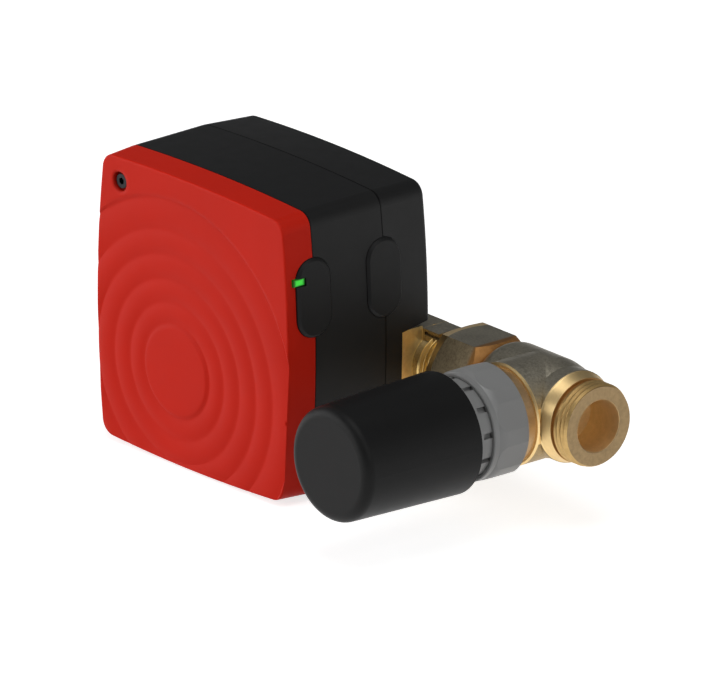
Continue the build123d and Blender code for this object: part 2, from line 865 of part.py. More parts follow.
def flow_body():
    """Brass flow body: tube, two end blocks, probe boss, top rib and a threaded port at each end"""
    body = turned_on_pipe(
        (-flow_half_length, 0),
        (-flow_half_length, flow_tube_radius),
        (flow_half_length, flow_tube_radius),
        (flow_half_length, 0),
    )
    body += flow_end_block(flow_half_length - flow_end_length, flow_half_length)
    body += flow_end_block(-flow_half_length, flow_end_length - flow_half_length)
    body += flow_end_block(-probe_boss_half, probe_boss_half)
    rib_x = (flow_half_length - overlap, flow_half_length + flow_rib_length)
    body += block(rib_x, (-flow_rib_half, flow_rib_half), (0, flow_flat()))
    port = flow_port()
    body += port
    body += mirror(port, Plane.YZ)
    full = flow_half_length + flow_neck_length + small_thread_length
    body -= rod(flow_bore_radius, (-full, 0, 0), (1, 0, 0), 2 * full)
    for x in (-mount_screw_offset, mount_screw_offset):
        body -= rod(mount_screw_radius + touch_gap, (x, flow_front(), 0), (0, 1, 0), mount_screw_depth)
    body -= rod(probe_radius + touch_gap, (0, flow_front(), 0), (0, 1, 0), -flow_front())
    shoulder = probe_shoulder_length
    body -= rod(probe_shoulder_radius + touch_gap, (0, flow_front(), 0), (0, 1, 0), shoulder - wall)
    return Pos(flow_middle(), 0, 0) * body


def wall_inside():
    """Place of the inside of the notch's wall, from the pipe's axis"""
    return notch_depth - wall - face_to_pipe


def mount_screws():
    """Two screws from inside the rear shell into the flow body"""
    length = flow_front() - wall_inside() + mount_screw_depth - part_gap
    screw = socket_screw(
        mount_screw_head,
        mount_screw_head_height,
        mount_screw_radius,
        length,
        mount_socket_flats,
        mount_screw_head_height / 2,
    )
    group = Part()
    for x in (-mount_screw_offset, mount_screw_offset):
        group += Plane(origin=(flow_middle() + x, wall_inside(), 0), z_dir=(0, -1, 0)).location * screw
    return group


def temperature_probe():
    """Probe from inside the rear shell into the flow body's bore"""
    seat = probe_shoulder_length - wall
    probe = turned(
        (0, 0),
        (probe_head_radius, 0),
        (probe_head_radius, probe_head_height),
        (0, probe_head_height),
    )
    floor = -(flow_front() - wall_inside() + seat)
    probe += turned(
        (0, 0),
        (probe_shoulder_radius, 0),
        (probe_shoulder_radius, floor + 2 * probe_seal_wire),
        (0, floor + 2 * probe_seal_wire),
    )
    probe += turned(
        (0, 0),
        (probe_radius, 0),
        (probe_radius, wall_inside() + probe_tip),
        (0, wall_inside() + probe_tip),
    )
    return Plane(origin=(flow_middle(), wall_inside(), 0), z_dir=(0, -1, 0)).location * probe


def probe_seal():
    """Sealing ring under the probe's shoulder"""
    floor = flow_front() + probe_shoulder_length - wall
    outer = probe_radius + 2 * probe_seal_wire
    ring = tube(outer, probe_radius + touch_gap, touch_gap, 2 * probe_seal_wire - touch_gap)
    return Plane(origin=(flow_middle(), floor, 0), z_dir=(0, -1, 0)).location * ring


# Valve body on the pipe's axis, with its places counted from the outlet's end face


def hex_socket_end():
    """Hexagonal female end, chamfered at its mouth and rounded towards the neck"""
    mouth = -valve_to_outlet - socket_reach
    flats_end = mouth + hex_length
    neck = -valve_to_outlet - neck_start
    hexagon = RegularPolygon(hex_flats / 2, 6, major_radius=False)
    bar = extrude(Plane.YZ.offset(mouth) * hexagon, amount=neck - mouth)
    corner = hex_flats / math.sqrt(3) + overlap
    edges = [
        Polyline(
            (neck, 0),
            (mouth, 0),
            (mouth, hex_chamfer_radius),
            (mouth + hex_chamfer_length, corner),
            (flats_end, corner),
        ),
        ThreePointArc(
            (flats_end, corner),
            (share(0.7, 0, 1, flats_end, neck), share(0.3, 0, 1, neck_radius, corner + overlap)),
            (neck, neck_radius),
        ),
        Line((neck, neck_radius), (neck, 0)),
    ]
    return bar & revolve(make_face(edges), Axis.X)


def valve_barrel():
    """Round parts of the valve body: neck, core, tail, relief groove and outlet thread"""
    axis_x = -valve_to_outlet
    neck = axis_x - neck_start
    core = axis_x - core_start
    core_end = axis_x + core_end_reach
    tail = axis_x + tail_start
    edges = [
        Polyline(
            (core_end, 0),
            (neck - overlap, 0),
            (neck - overlap, neck_radius),
            (core, neck_radius),
            (core, core_radius - core_edge_drop),
        ),
        ThreePointArc(
            (core, core_radius - core_edge_drop),
            (core + 0.46 * core_edge_length, core_radius - 0.26 * core_edge_drop),
            (core + core_edge_length, core_radius),
        ),
        Line((core + core_edge_length, core_radius), (core_end, core_radius)),
        ThreePointArc(
            (core_end, core_radius),
            (share(0.5, 0, 1, core_end, tail), share(0.4, 0, 1, core_radius, tail_radius)),
            (tail, tail_radius),
        ),
        Line((tail, tail_radius), (-tail_full_end, tail_radius)),
        ThreePointArc(
            (-tail_full_end, tail_radius),
            (
                share(0.6, 0, 1, -tail_full_end, -groove_start),
                share(0.35, 0, 1, tail_radius, tail_end_radius),
            ),
            (-groove_start, tail_end_radius),
        ),
        Polyline(
            (-groove_start, tail_end_radius),
            (-groove_start, groove_radius),
            (-groove_end, groove_radius),
            (-groove_end, outlet_thread_radius),
            (-outlet_chamfer_length, outlet_thread_radius),
            (0, outlet_chamfer_radius),
            (0, 0),
            (core_end, 0),
        ),
    ]
    return revolve(make_face(edges), Axis.X)


def valve_boss():
    """Round boss towards the actuator, in the actuator's frame"""
    return turned(
        (0, 0),
        (boss_radius, 0),
        (boss_radius, boss_front - boss_edge),
        (boss_radius - boss_edge, boss_front),
        (0, boss_front),
    )


def valve_passages():
    """Chamber, seat and channels inside the valve, in the actuator's frame"""
    channel_low = -low_channel_radius + seat_bore_radius / 8
    channel_high = chamber_floor + high_channel_radius
    room = turned(
        (0, channel_low),
        (seat_bore_radius, channel_low),
        (seat_bore_radius, seat_face),
        (seat_ring_radius, seat_face),
        (seat_ring_radius, chamber_floor),
        (chamber_radius, chamber_floor),
        (chamber_radius, mouth_floor),
        (mouth_radius, mouth_floor),
        (mouth_radius, boss_front + overlap),
        (0, boss_front + overlap),
    )
    room += rod(low_channel_radius, (0, 0, channel_low), (-1, 0, 0), channel_reach + overlap)
    room += rod(high_channel_radius, (0, 0, channel_high), (1, 0, 0), channel_reach + overlap)
    reach = socket_reach + overlap
    room += rod(flow_bore_radius, (-reach, 0, 0), (1, 0, 0), reach - channel_reach)
    room += rod(outlet_bore_radius, (channel_reach, 0, 0), (1, 0, 0), valve_to_outlet)
    return room


def valve_body():
    """Brass valve body with hexagonal socket, boss for the insert and threaded outlet"""
    body = hex_socket_end() + valve_barrel()
    in_front = block((-boss_radius, boss_radius), (-boss_radius, boss_radius), (boss_front, 2 * boss_front))
    body -= actuator_place * in_front
    body += actuator_place * valve_boss()
    body -= actuator_place * valve_passages()
    mouth = -valve_to_outlet - socket_reach
    socket_start = (mouth - overlap, 0, 0)
    body -= rod(small_thread_radius + running_gap, socket_start, (1, 0, 0), socket_depth + overlap)
    return body


# Valve insert and drive, drawn in the actuator's frame: Z is the distance in front of the pipe's axis


def valve_insert():
    """Brass insert: skirt in the boss, threaded collar for the ring nut, and stem hub"""
    skirt_inner = mouth_radius - insert_skirt_wall
    insert = turned(
        (stem_radius + running_gap, mouth_floor + slide_gap + plug_height),
        (skirt_inner, mouth_floor + slide_gap + plug_height),
        (skirt_inner, mouth_floor + touch_gap),
        (mouth_radius - running_gap, mouth_floor + touch_gap),
        (mouth_radius - running_gap, boss_front),
        (insert_thread_radius, boss_front),
        (insert_thread_radius, insert_front),
        (cup_radius, insert_front),
        (cup_radius, cup_floor),
        (hub_radius, cup_floor),
        (hub_radius, hub_front),
        (gland_radius, hub_front),
        (gland_radius, gland_floor),
        (stem_radius + running_gap, gland_floor),
    )
    return insert


def gland_seal():
    """Sealing ring round the stem"""
    start = gland_floor + touch_gap
    end = gland_floor + 2 * gland_seal_wire - touch_gap
    return tube(gland_radius - running_gap, stem_radius + running_gap, start, end)


def gland_nut():
    """Small nut that holds the stem's seal"""
    seal_front = gland_floor + 2 * gland_seal_wire
    return turned(
        (stem_radius + running_gap, seal_front),
        (gland_radius - running_gap, seal_front),
        (gland_radius - running_gap, hub_front),
        (gland_nut_radius, hub_front),
        (gland_nut_radius, hub_front + gland_nut_height),
        (stem_radius + running_gap, hub_front + gland_nut_height),
    )


def valve_stem():
    """Stem from the plug to the stem cap"""
    start = seat_face + plug_seal_height
    return turned((0, start), (stem_radius, start), (stem_radius, stem_tip), (0, stem_tip))


def stem_cap():
    """Cap on the stem, that the plunger presses and the return spring lifts"""
    rear = stem_tip - stem_cap_overlap
    front = stem_tip + stem_cap_height - stem_cap_overlap
    return turned(
        (0, stem_tip),
        (stem_radius, stem_tip),
        (stem_radius, rear),
        (stem_cap_radius, rear),
        (stem_cap_radius, front),
        (0, front),
    )


def cap_front_face():
    """Place of the stem cap's front face"""
    return stem_tip + stem_cap_height - stem_cap_overlap


def valve_plug():
    """Plug that holds the sealing disc"""
    rear = seat_face + plug_seal_proud
    floor = seat_face + plug_seal_height
    return turned(
        (plug_seal_radius, rear),
        (plug_radius, rear),
        (plug_radius, rear + plug_height - plug_seal_proud),
        (stem_radius, rear + plug_height - plug_seal_proud),
        (stem_radius, floor),
        (plug_seal_radius, floor),
    )


def plug_seal():
    """Rubber disc that closes the seat"""
    end = seat_face + plug_seal_height
    return turned((0, seat_face), (plug_seal_radius, seat_face), (plug_seal_radius, end), (0, end))


def return_spring():
    """Spring that lifts the stem"""
    end = stem_tip - stem_cap_overlap
    return coil(return_spring_radius, return_spring_wire, cup_floor, end, return_spring_turns)


def ring_nut():
    """Ring nut: band with eight flats, shoulder, smaller front rim, threaded bore and retaining lip"""
    bore = insert_thread_radius + running_gap
    lip_rear = nut_front - nut_lip
    recess_radius = drum_radius + part_gap
    shoulder_middle = share(0.5, 0, 1, nut_shoulder_rear, nut_shoulder_front)
    edges = [
        Polyline(
            (nut_front_radius, nut_shoulder_front),
            (nut_front_radius, nut_front - nut_front_edge),
            (nut_front_radius - nut_front_edge, nut_front),
            (recess_radius, nut_front),
            (recess_radius, nut_front - nut_recess),
            (nut_lip_radius, nut_front - nut_recess),
            (nut_lip_radius, lip_rear),
            (bore, lip_rear),
            (bore, nut_rear),
            (nut_radius - nut_edge, nut_rear),
            (nut_radius, nut_rear + nut_edge),
            (nut_radius, nut_shoulder_rear),
        ),
        ThreePointArc(
            (nut_radius, nut_shoulder_rear),
            (share(0.24, 0, 1, nut_radius, nut_front_radius), shoulder_middle),
            (nut_front_radius, nut_shoulder_front),
        ),
    ]
    body = revolve(Plane.XZ * make_face(edges), Axis.Z)
    outside = (nut_flat_reach, nut_radius + overlap)
    flat = block(outside, (-nut_radius, nut_radius), (nut_rear - overlap, nut_shoulder_front))
    for step in range(nut_flats):
        body -= Rot(0, 0, 360 / nut_flats * (step + 0.5)) * flat
    return body


def retaining_ring():
    """Split ring on the base's neck, that holds the ring nut"""
    inner = base_neck_radius - ring_groove_depth
    ring = tube(ring_radius, inner, ring_groove_start, ring_groove_start + ring_height)
    slot_half = base_neck_radius * math.tan(math.radians(ring_slot_angle / 2))
    across = (ring_groove_start - overlap, ring_groove_start + 2 * ring_height)
    return ring - block((-slot_half, slot_half), (-2 * ring_radius, 0), across)


def actuator_base():
    """Base: neck through the nut, slotted drum, spigot in the cap and the piston's bridge"""
    drum_rear = nut_front - nut_recess + touch_gap
    base = turned(
        (base_bore_radius, insert_front + touch_gap),
        (base_neck_radius, insert_front + touch_gap),
        (base_neck_radius, drum_rear),
        (drum_radius, drum_rear),
        (drum_radius, drum_front),
        (spigot_radius(), drum_front),
        (spigot_radius(), spigot_front),
        (base_bore_radius, spigot_front),
    )
    floor = base_neck_radius - ring_groove_depth - touch_gap
    groove_rear = ring_groove_start - touch_gap
    groove_front = ring_groove_start + ring_height + touch_gap
    base -= tube(base_neck_radius + overlap, floor, groove_rear, groove_front)
    slot = block(
        (drum_radius - drum_slot_depth, drum_radius + overlap),
        (-drum_slot_width / 2, drum_slot_width / 2),
        (drum_rear - overlap, drum_slot_end),
    )
    for step in range(drum_slots):
        base -= Rot(0, 0, 360 / drum_slots * step + drum_slot_turn) * slot
    half_width = bridge_width / 2
    half_length = base_bore_radius + overlap
    base += block((-half_width, half_width), (-half_length, half_length), (bridge_rear, bridge_front))
    dimple = (0, 0, bridge_front - bridge_dimple)
    base -= rod(piston_radius + touch_gap, dimple, (0, 0, 1), overlap + bridge_dimple)
    return base


def cap_radius_at(place):
    """Outside radius of the tapered cap"""
    return share(place, cap_rear, cap_front, cap_rear_radius, cap_front_radius)


def spigot_radius():
    """Radius of the base's spigot, that fits the cap's tapered bore"""
    return cap_radius_at(spigot_front) - cap_wall - touch_gap


def actuator_cap():
    """Tapered cap with a rounded front edge"""
    inner_front = cap_front - cap_wall
    cap = turned((0, cap_rear), (cap_rear_radius, cap_rear), (cap_front_radius, cap_front), (0, cap_front))
    cap = fillet(cap.faces().sort_by(Axis.Z)[-1].edges(), cap_edge)
    room = turned(
        (0, cap_rear - overlap),
        (cap_radius_at(cap_rear - overlap) - cap_wall, cap_rear - overlap),
        (cap_radius_at(inner_front) - cap_wall, inner_front),
        (0, inner_front),
    )
    room = fillet(room.faces().sort_by(Axis.Z)[-1].edges(), cap_edge - cap_wall / 2)
    return cap - room


def plunger():
    """Plunger: foot on the stem cap, two arms past the bridge, and the yoke for the cartridge"""
    foot_rear = cap_front_face() + touch_gap
    foot_front = foot_rear + foot_height
    foot_radius = base_bore_radius - running_gap
    part = turned((0, foot_rear), (foot_radius, foot_rear), (foot_radius, foot_front), (0, foot_front))
    part += tube(yoke_radius, wax_radius + running_gap, yoke_rear, yoke_rear + yoke_height)
    for side in (-1, 1):
        x_range = sorted((side * arm_inner, side * arm_outer))
        part += block(x_range, (-arm_half_width, arm_half_width), (foot_rear, yoke_rear + yoke_height))
    part -= rod(wax_radius + running_gap, (0, 0, yoke_rear), (0, 0, 1), 2 * yoke_height)
    return part


def wax_cartridge():
    """Wax cartridge: cylinder with a flange on the yoke, and the pocket of its piston"""
    rear = yoke_rear
    flange_rear = yoke_rear + yoke_height
    return turned(
        (piston_radius + running_gap, rear),
        (wax_radius, rear),
        (wax_radius, flange_rear),
        (wax_flange_radius, flange_rear),
        (wax_flange_radius, flange_rear + wax_flange_height),
        (wax_radius, flange_rear + wax_flange_height),
        (wax_radius, wax_front),
        (0, wax_front),
        (0, rear + wax_pocket_depth),
        (piston_radius + running_gap, rear + wax_pocket_depth),
    )


def wax_piston():
    """Piston between the bridge and the wax"""
    start = bridge_front - bridge_dimple
    length = yoke_rear + wax_pocket_depth - start - touch_gap
    return rod(piston_radius, (0, 0, start), (0, 0, 1), length)


def heater():
    """Heating disc on the cartridge"""
    return rod(heater_radius, (0, 0, wax_front), (0, 0, 1), heater_height)


def heater_clip():
    """Spring cup that presses the heating disc on the cartridge"""
    top = wax_front + heater_height
    return turned(
        (0, top),
        (wax_radius, top),
        (wax_radius, wax_front - clip_skirt),
        (wax_radius + clip_wall, wax_front - clip_skirt),
        (wax_radius + clip_wall, top + clip_wall),
        (0, top + clip_wall),
    )


def main_spring():
    """Spring that closes the valve when the wax is cold"""
    start = yoke_rear + yoke_height
    return coil(main_spring_radius, main_spring_wire, start, cap_front - cap_wall, main_spring_turns)


def housing_parts():
    """Pieces of the control unit"""
    pieces = {
        "front_cover": front_cover(),
        "cover_screw": cover_screw(),
        "middle_housing": middle_housing(),
        "rear_shell": rear_shell(),
        "front_latch": latch(front_latch_depth, -1),
        "rear_latch": latch(rear_latch_depth, 1),
        "front_latch_spring": latch_spring(front_latch_depth),
        "rear_latch_spring": latch_spring(rear_latch_depth),
        "light_guide": light_guide(),
        "status_lamp": status_lamp(),
        "circuit_board": circuit_board(),
        "board_screws": board_screws(),
        "power_supply": power_supply(),
        "heater_relay": relay(),
        "radio_module": radio_module(),
        "terminal_block": terminal_block(),
    }
    return {name: housing_place * piece for name, piece in pieces.items()}


def pipe_parts():
    """Pieces on the pipe's axis"""
    return {
        "flow_body": flow_body(),
        "mount_screws": mount_screws(),
        "temperature_probe": temperature_probe(),
        "probe_seal": probe_seal(),
        "valve_body": valve_body(),
    }


def actuator_parts():
    """Pieces on the actuator's axis"""
    pieces = {
        "valve_insert": valve_insert(),
        "gland_seal": gland_seal(),
        "gland_nut": gland_nut(),
        "valve_stem": valve_stem(),
        "stem_cap": stem_cap(),
        "valve_plug": valve_plug(),
        "plug_seal": plug_seal(),
        "return_spring": return_spring(),
        "ring_nut": ring_nut(),
        "retaining_ring": retaining_ring(),
        "actuator_base": actuator_base(),
        "actuator_cap": actuator_cap(),
        "plunger": plunger(),
        "wax_cartridge": wax_cartridge(),
        "wax_piston": wax_piston(),
        "heater_disc": heater(),
        "heater_clip": heater_clip(),
        "main_spring": main_spring(),
    }
    return {name: actuator_place * piece for name, piece in pieces.items()}


os.makedirs("parts", exist_ok=True)
for group in (housing_parts(), pipe_parts(), actuator_parts()):
    for name, piece in group.items():
        export_step(piece, f"parts/{name}.step")
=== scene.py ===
"""Dresses the thermal actuator valve and its control unit: threads, materials, light and camera."""

import json
import math

import bmesh
import bpy
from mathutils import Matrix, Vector

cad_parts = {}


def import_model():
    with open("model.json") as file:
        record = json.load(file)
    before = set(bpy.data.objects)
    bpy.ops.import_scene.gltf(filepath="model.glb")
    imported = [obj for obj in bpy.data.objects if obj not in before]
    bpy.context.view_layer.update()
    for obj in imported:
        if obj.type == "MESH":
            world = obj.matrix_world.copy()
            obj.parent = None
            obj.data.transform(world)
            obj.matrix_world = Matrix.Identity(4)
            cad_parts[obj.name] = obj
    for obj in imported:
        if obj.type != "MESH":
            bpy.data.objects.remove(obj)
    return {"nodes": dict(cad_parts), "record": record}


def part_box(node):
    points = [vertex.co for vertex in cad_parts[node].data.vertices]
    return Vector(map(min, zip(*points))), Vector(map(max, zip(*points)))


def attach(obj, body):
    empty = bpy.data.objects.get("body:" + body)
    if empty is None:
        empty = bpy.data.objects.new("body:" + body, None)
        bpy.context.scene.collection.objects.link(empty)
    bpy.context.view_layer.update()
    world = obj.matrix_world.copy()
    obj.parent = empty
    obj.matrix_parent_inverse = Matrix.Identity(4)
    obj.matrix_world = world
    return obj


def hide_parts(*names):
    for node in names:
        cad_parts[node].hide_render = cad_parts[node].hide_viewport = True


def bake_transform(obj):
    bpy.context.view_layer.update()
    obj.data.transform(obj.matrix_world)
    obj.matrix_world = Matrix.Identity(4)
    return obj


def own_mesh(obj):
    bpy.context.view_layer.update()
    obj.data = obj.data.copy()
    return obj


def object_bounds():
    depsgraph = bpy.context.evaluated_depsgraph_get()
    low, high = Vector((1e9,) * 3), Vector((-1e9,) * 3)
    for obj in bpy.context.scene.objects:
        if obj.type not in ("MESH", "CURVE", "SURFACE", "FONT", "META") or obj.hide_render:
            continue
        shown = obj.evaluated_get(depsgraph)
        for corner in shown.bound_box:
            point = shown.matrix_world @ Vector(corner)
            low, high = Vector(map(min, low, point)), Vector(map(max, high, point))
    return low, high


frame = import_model()
nodes = frame["nodes"]
cad_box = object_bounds()

# Places and sizes are in millimetres, and colours are screen colours from 0 to 255.
# X runs along the pipe from the outlet's end face, Y to the back and Z up from the pipe's axis.
MM = 0.001

# Chamfer round the mouth of the valve's hexagon: where it ends on the flats, their distance from the
# pipe's axis, how much farther it goes outside them, and how far its shading leans
mouth_chamfer_end = -62.4
flats_radius = 14.0
mouth_chamfer_slope = 0.8
mouth_chamfer_lean = 0.47

# Neck between the hexagon and the chamber, and the rim of the valve's boss
neck_start = -48.4
neck_fade = 0.6
neck_end = -43.3
boss_rim_y = -14.4
boss_rim_x = -45.0

# Valve's smooth tail as (place, radius), and its outlet with the thread and the groove where that starts
tail_start = -11.3
tail_cut_radius = 14.6
tail_machined_start = -11.22
tail_shoulder = [(tail_start, 14.5), (-11.2, 14.42), (-11.0, 14.2), (-10.8, 14.08)]
tail_band = [(-7.1, 13.4), (-6.9, 13.3)]
groove_start = -6.88
groove_radius = 12.4
# Band of the groove, whose darker colour is painted shade in the recess
groove_shade = (-6.95, -6.1)
outlet_thread_start = -6.2
outlet_root = 12.45
outlet_crest = 13.22
outlet_lead = 0.9
outlet_lead_radius = 12.41
outlet_bore = 8.3
outlet_bore_edge = 0.2
outlet_face_start = -0.12
outlet_face_fade = 0.04

# Flow body, measured from its middle to both sides: the end planes with how far their finish reaches
# inwards and outwards, the places where its necks are cut, the threaded ports, and the rib on the right
flow_low, flow_high = (corner.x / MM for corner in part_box("flow_body"))
flow_middle = (flow_low + flow_high) / 2
flow_reach = (flow_high - flow_low) / 2
flow_end = 43.0
flow_end_shade = (-0.05, 0.08)
flow_cut_radius = 30.0
port_neck_cut = 44.0
inlet_neck_cut = 45.5
port_neck_radius = 9.0
port_thread_start = 46.0
port_root = 9.3
port_crest = 10.48
port_lead = 1.0
port_lead_radius = 9.48
port_bore = 7.2
rib_start = 43.9
rib_end = 50.5
rib_side = [(4.7, 11.548), (4.7, 10.75), (3.9, 10.65), (3.9, 9.85), (4.7, 9.7), (4.7, 7.9)]
rib_edge = 0.12

# Threads: the pitch, the part of a turn in which a thread rises, and its height by the part of a turn
thread_pitch = 1.814
thread_rise = 0.2
thread_profile = ((0.0, 0.0), (0.09, 0.05), (0.41, 0.95), (0.5, 1.0), (0.59, 0.95), (0.91, 0.05), (1.0, 0.0))

# Meshes: corners nearer than the weld gap become one, and edges shorter than the least edge go
weld_gap = 0.0002
least_edge = 0.0001

# Housing: its two joint lines from front to back, darkened with painted shade in their gaps, the part
# of the cover's face whose creases are shaded softly, and the window of the status light across and up
front_gap_shade = (-60.0, -48.6)
rear_gap_shade = (-21.3, -20.7)
cover_soft_half = 40.0
cover_soft_z = (-29.0, 54.5)
cover_soft_fade = 1.0
cover_soft_radius = 2.1
light_middle = (-54.95, 38.4)
light_half = (2.1, 1.15)

# Finishes: the fade of a mask's edge to each side, how deep a bore's finish goes into its wall, and
# the scale of noise along tool lines, which draws it out
edge_fade = 0.06
bore_skin = 0.1
line_stretch = 0.02

# The photograph's view: its width in pixels, the pixels to a metre, the camera's direction in degrees,
# the place that it looks at, and how far off it stands
photo_width = 716
pixels_to_a_metre = 3302
view_azimuth = 49.45
view_elevation = 20.07
view_middle = (-65.7, -39.7, 18.34)
view_distance = 3029

# Studio: the place that the lamps look at, and the floor's reach, gap under the part, tone and glow
lit_place = (-85, -20, 10)
floor_reach = 30000
floor_gap = 0.2
floor_tone = 0.7
floor_glow = 0.75

# Studio: the slope of view up to which the pale band at the horizon goes, the slope from which the
# room is dim, and their linear light
band_top = 0.02
room_start = 0.07
band_light = (1, 1, 1)
room_light = (0.13, 0.133, 0.137)


def linear(colour):
    """A screen colour as linear light, by the standard screen curve."""
    return tuple(
        c / 12.92 if c <= 0.04045 else ((c + 0.055) / 1.055) ** 2.4 for c in (part / 255 for part in colour)
    )


def shade(light, factor):
    """Linear light made darker or lighter."""
    return tuple(min(c * factor, 1.0) for c in light)


class Graph:
    """The nodes of a material or a world, added one at a time."""

    def __init__(self, owner):
        owner.use_nodes = True
        self.tree = owner.node_tree
        self.tree.nodes.clear()

    def add(self, kind, links=None, **values):
        """A node of a kind, with its properties, and its inputs linked or set by name or number."""
        node = self.tree.nodes.new(kind)
        for key, value in values.items():
            setattr(node, key, value)
        for key, value in (links or {}).items():
            if isinstance(value, bpy.types.NodeSocket):
                self.tree.links.new(value, node.inputs[key])
            else:
                node.inputs[key].default_value = value
        return node

    def math(self, operation, a, b=0.0):
        """A number made from two others by an operation's name."""
        return self.add("ShaderNodeMath", {0: a, 1: b}, operation=operation).outputs[0]

    def any_of(self, *masks):
        """The highest of some masks."""
        total = masks[0]
        for mask in masks[1:]:
            total = self.math("MAXIMUM", total, mask)
        return total

    def ramp(self, factor, *stops):
        """A colour ramp of (position, linear light) stops."""
        node = self.add("ShaderNodeValToRGB", {"Fac": factor})
        elements = node.color_ramp.elements
        while len(elements) < len(stops):
            elements.new(0.5)
        for element, (position, light) in zip(elements, stops):
            element.position = position
            element.color = (*light, 1)
        return node.outputs["Color"]


class Finish(Graph):
    """A material that depends on places on the part."""

    def __init__(self, name):
        self.material = bpy.data.materials.new(name)
        super().__init__(self.material)
        self.place = self.add("ShaderNodeTexCoord").outputs["Object"]

    def axis(self, letter):
        """The object's coordinate along X, Y or Z, in metres."""
        return self.add("ShaderNodeSeparateXYZ", {0: self.place}).outputs[letter]

    def facing(self):
        """The direction that the surface faces."""
        return self.add("ShaderNodeNewGeometry").outputs["Normal"]

    def scaled(self, x, y, z):
        """The object's coordinates, stretched along each axis."""
        return self.add("ShaderNodeMapping", {0: self.place, "Scale": (x, y, z)}).outputs[0]

    def noise(self, size, detail=2.0, rough=0.5, place=None):
        """Noise whose features are about a size across."""
        scale = 1 / (size * MM)
        links = {"Vector": place or self.place, "Scale": scale, "Detail": detail, "Roughness": rough}
        return self.add("ShaderNodeTexNoise", links).outputs["Fac"]

    def between(self, noise, low, high):
        """A number from low to high as noise goes from its low values to its high ones."""
        links = {"Value": noise, "From Min": 0.3, "From Max": 0.7, "To Min": low, "To Max": high}
        return self.add("ShaderNodeMapRange", links).outputs[0]

    def varied(self, noise, light, vary, spread):
        """Linear light that gets darker and lighter as noise goes a spread to each side of its middle."""
        dark_stop = (0.5 - spread, shade(light, 1 - vary))
        light_stop = (0.5 + spread, shade(light, 1 + vary))
        return self.ramp(noise, dark_stop, light_stop)

    def above(self, value, limit, fade):
        """1 where a value is over a limit, and 0 under it."""
        links = {"Value": value, "From Min": limit - fade, "From Max": limit + fade}
        return self.add("ShaderNodeMapRange", links).outputs[0]

    def beyond(self, distance, place, fade=edge_fade):
        """1 where a distance or a coordinate is over a place, and 0 under it."""
        return self.above(distance, place * MM, fade * MM)

    def short_of(self, distance, place, fade=edge_fade):
        """1 where a distance or a coordinate is under a place, and 0 over it."""
        return self.math("SUBTRACT", 1.0, self.beyond(distance, place, fade))

    def band(self, letter, low, high, fade=edge_fade):
        """1 between two places along X, Y or Z, and 0 outside them."""
        along = self.axis(letter)
        return self.both(self.beyond(along, low, fade), self.short_of(along, high, fade))

    def both(self, a, b):
        """1 where two masks are both 1."""
        return self.math("MULTIPLY", a, b)

    def mix(self, mask, a, b):
        """A number that is a where a mask is 0, and b where it is 1."""
        return self.add("ShaderNodeMapRange", {"Value": mask, "To Min": a, "To Max": b}).outputs[0]

    def mix_light(self, mask, a, b):
        """Linear light that is a where a mask is 0, and b where it is 1."""
        return self.add("ShaderNodeMix", {"Factor": mask, 6: a, 7: b}, data_type="RGBA").outputs[2]

    def bump(self, height, depth, below=None):
        """A bump of a real depth, on top of another normal."""
        links = {"Height": height, "Distance": depth * MM}
        if below is not None:
            links["Normal"] = below
        return self.add("ShaderNodeBump", links).outputs["Normal"]

    def surface(self, **inputs):
        """The finished material. Input names are the shader's, with _ for a space."""
        links = {key.replace("_", " "): value for key, value in inputs.items()}
        shader = self.add("ShaderNodeBsdfPrincipled", links)
        self.add("ShaderNodeOutputMaterial", {"Surface": shader.outputs[0]})
        return self.material


def plastic(name, colour, roughness, specular, grain, depth, vary, soft=None, gap_shades=()):
    """Moulded plastic: a fine eroded grain, with slow changes of tone and gloss.

    grain and depth are the grain's width and depth, and vary is how far the tone varies. soft is a
    radius that creases are shaded with and the function of the mask where they are, and the joint
    lines that it takes last are darkened with painted shade in their gaps, each from a lowest to a
    highest place from front to back.
    """
    cloud_size = 30
    sheen_size = 6
    sheen_change = 0.02
    painted_gap_shade = (0.0012, 0.0012, 0.0012, 1)
    g = Finish(name)
    tone = g.varied(g.noise(cloud_size), linear(colour), vary, spread=0.2)
    # Joint lines darkened with painted shade in the gaps between the housing's parts
    for low, high in gap_shades:
        tone = g.mix_light(g.band("Y", low, high), tone, painted_gap_shade)
    sheen = g.noise(sheen_size, detail=4)
    gloss = g.between(sheen, roughness - sheen_change, roughness + sheen_change)
    rounded = None
    if soft:
        radius, where = soft
        flowing = g.add("ShaderNodeBevel", {"Radius": radius * MM}, samples=8).outputs[0]
        links = {"Factor": where(g), 4: g.facing(), 5: flowing}
        rounded = g.add("ShaderNodeMix", links, data_type="VECTOR").outputs[1]
    normal = g.bump(g.noise(grain, rough=0.6), depth, below=rounded)
    return g.surface(Base_Color=tone, Roughness=gloss, Specular_IOR_Level=specular, Normal=normal)


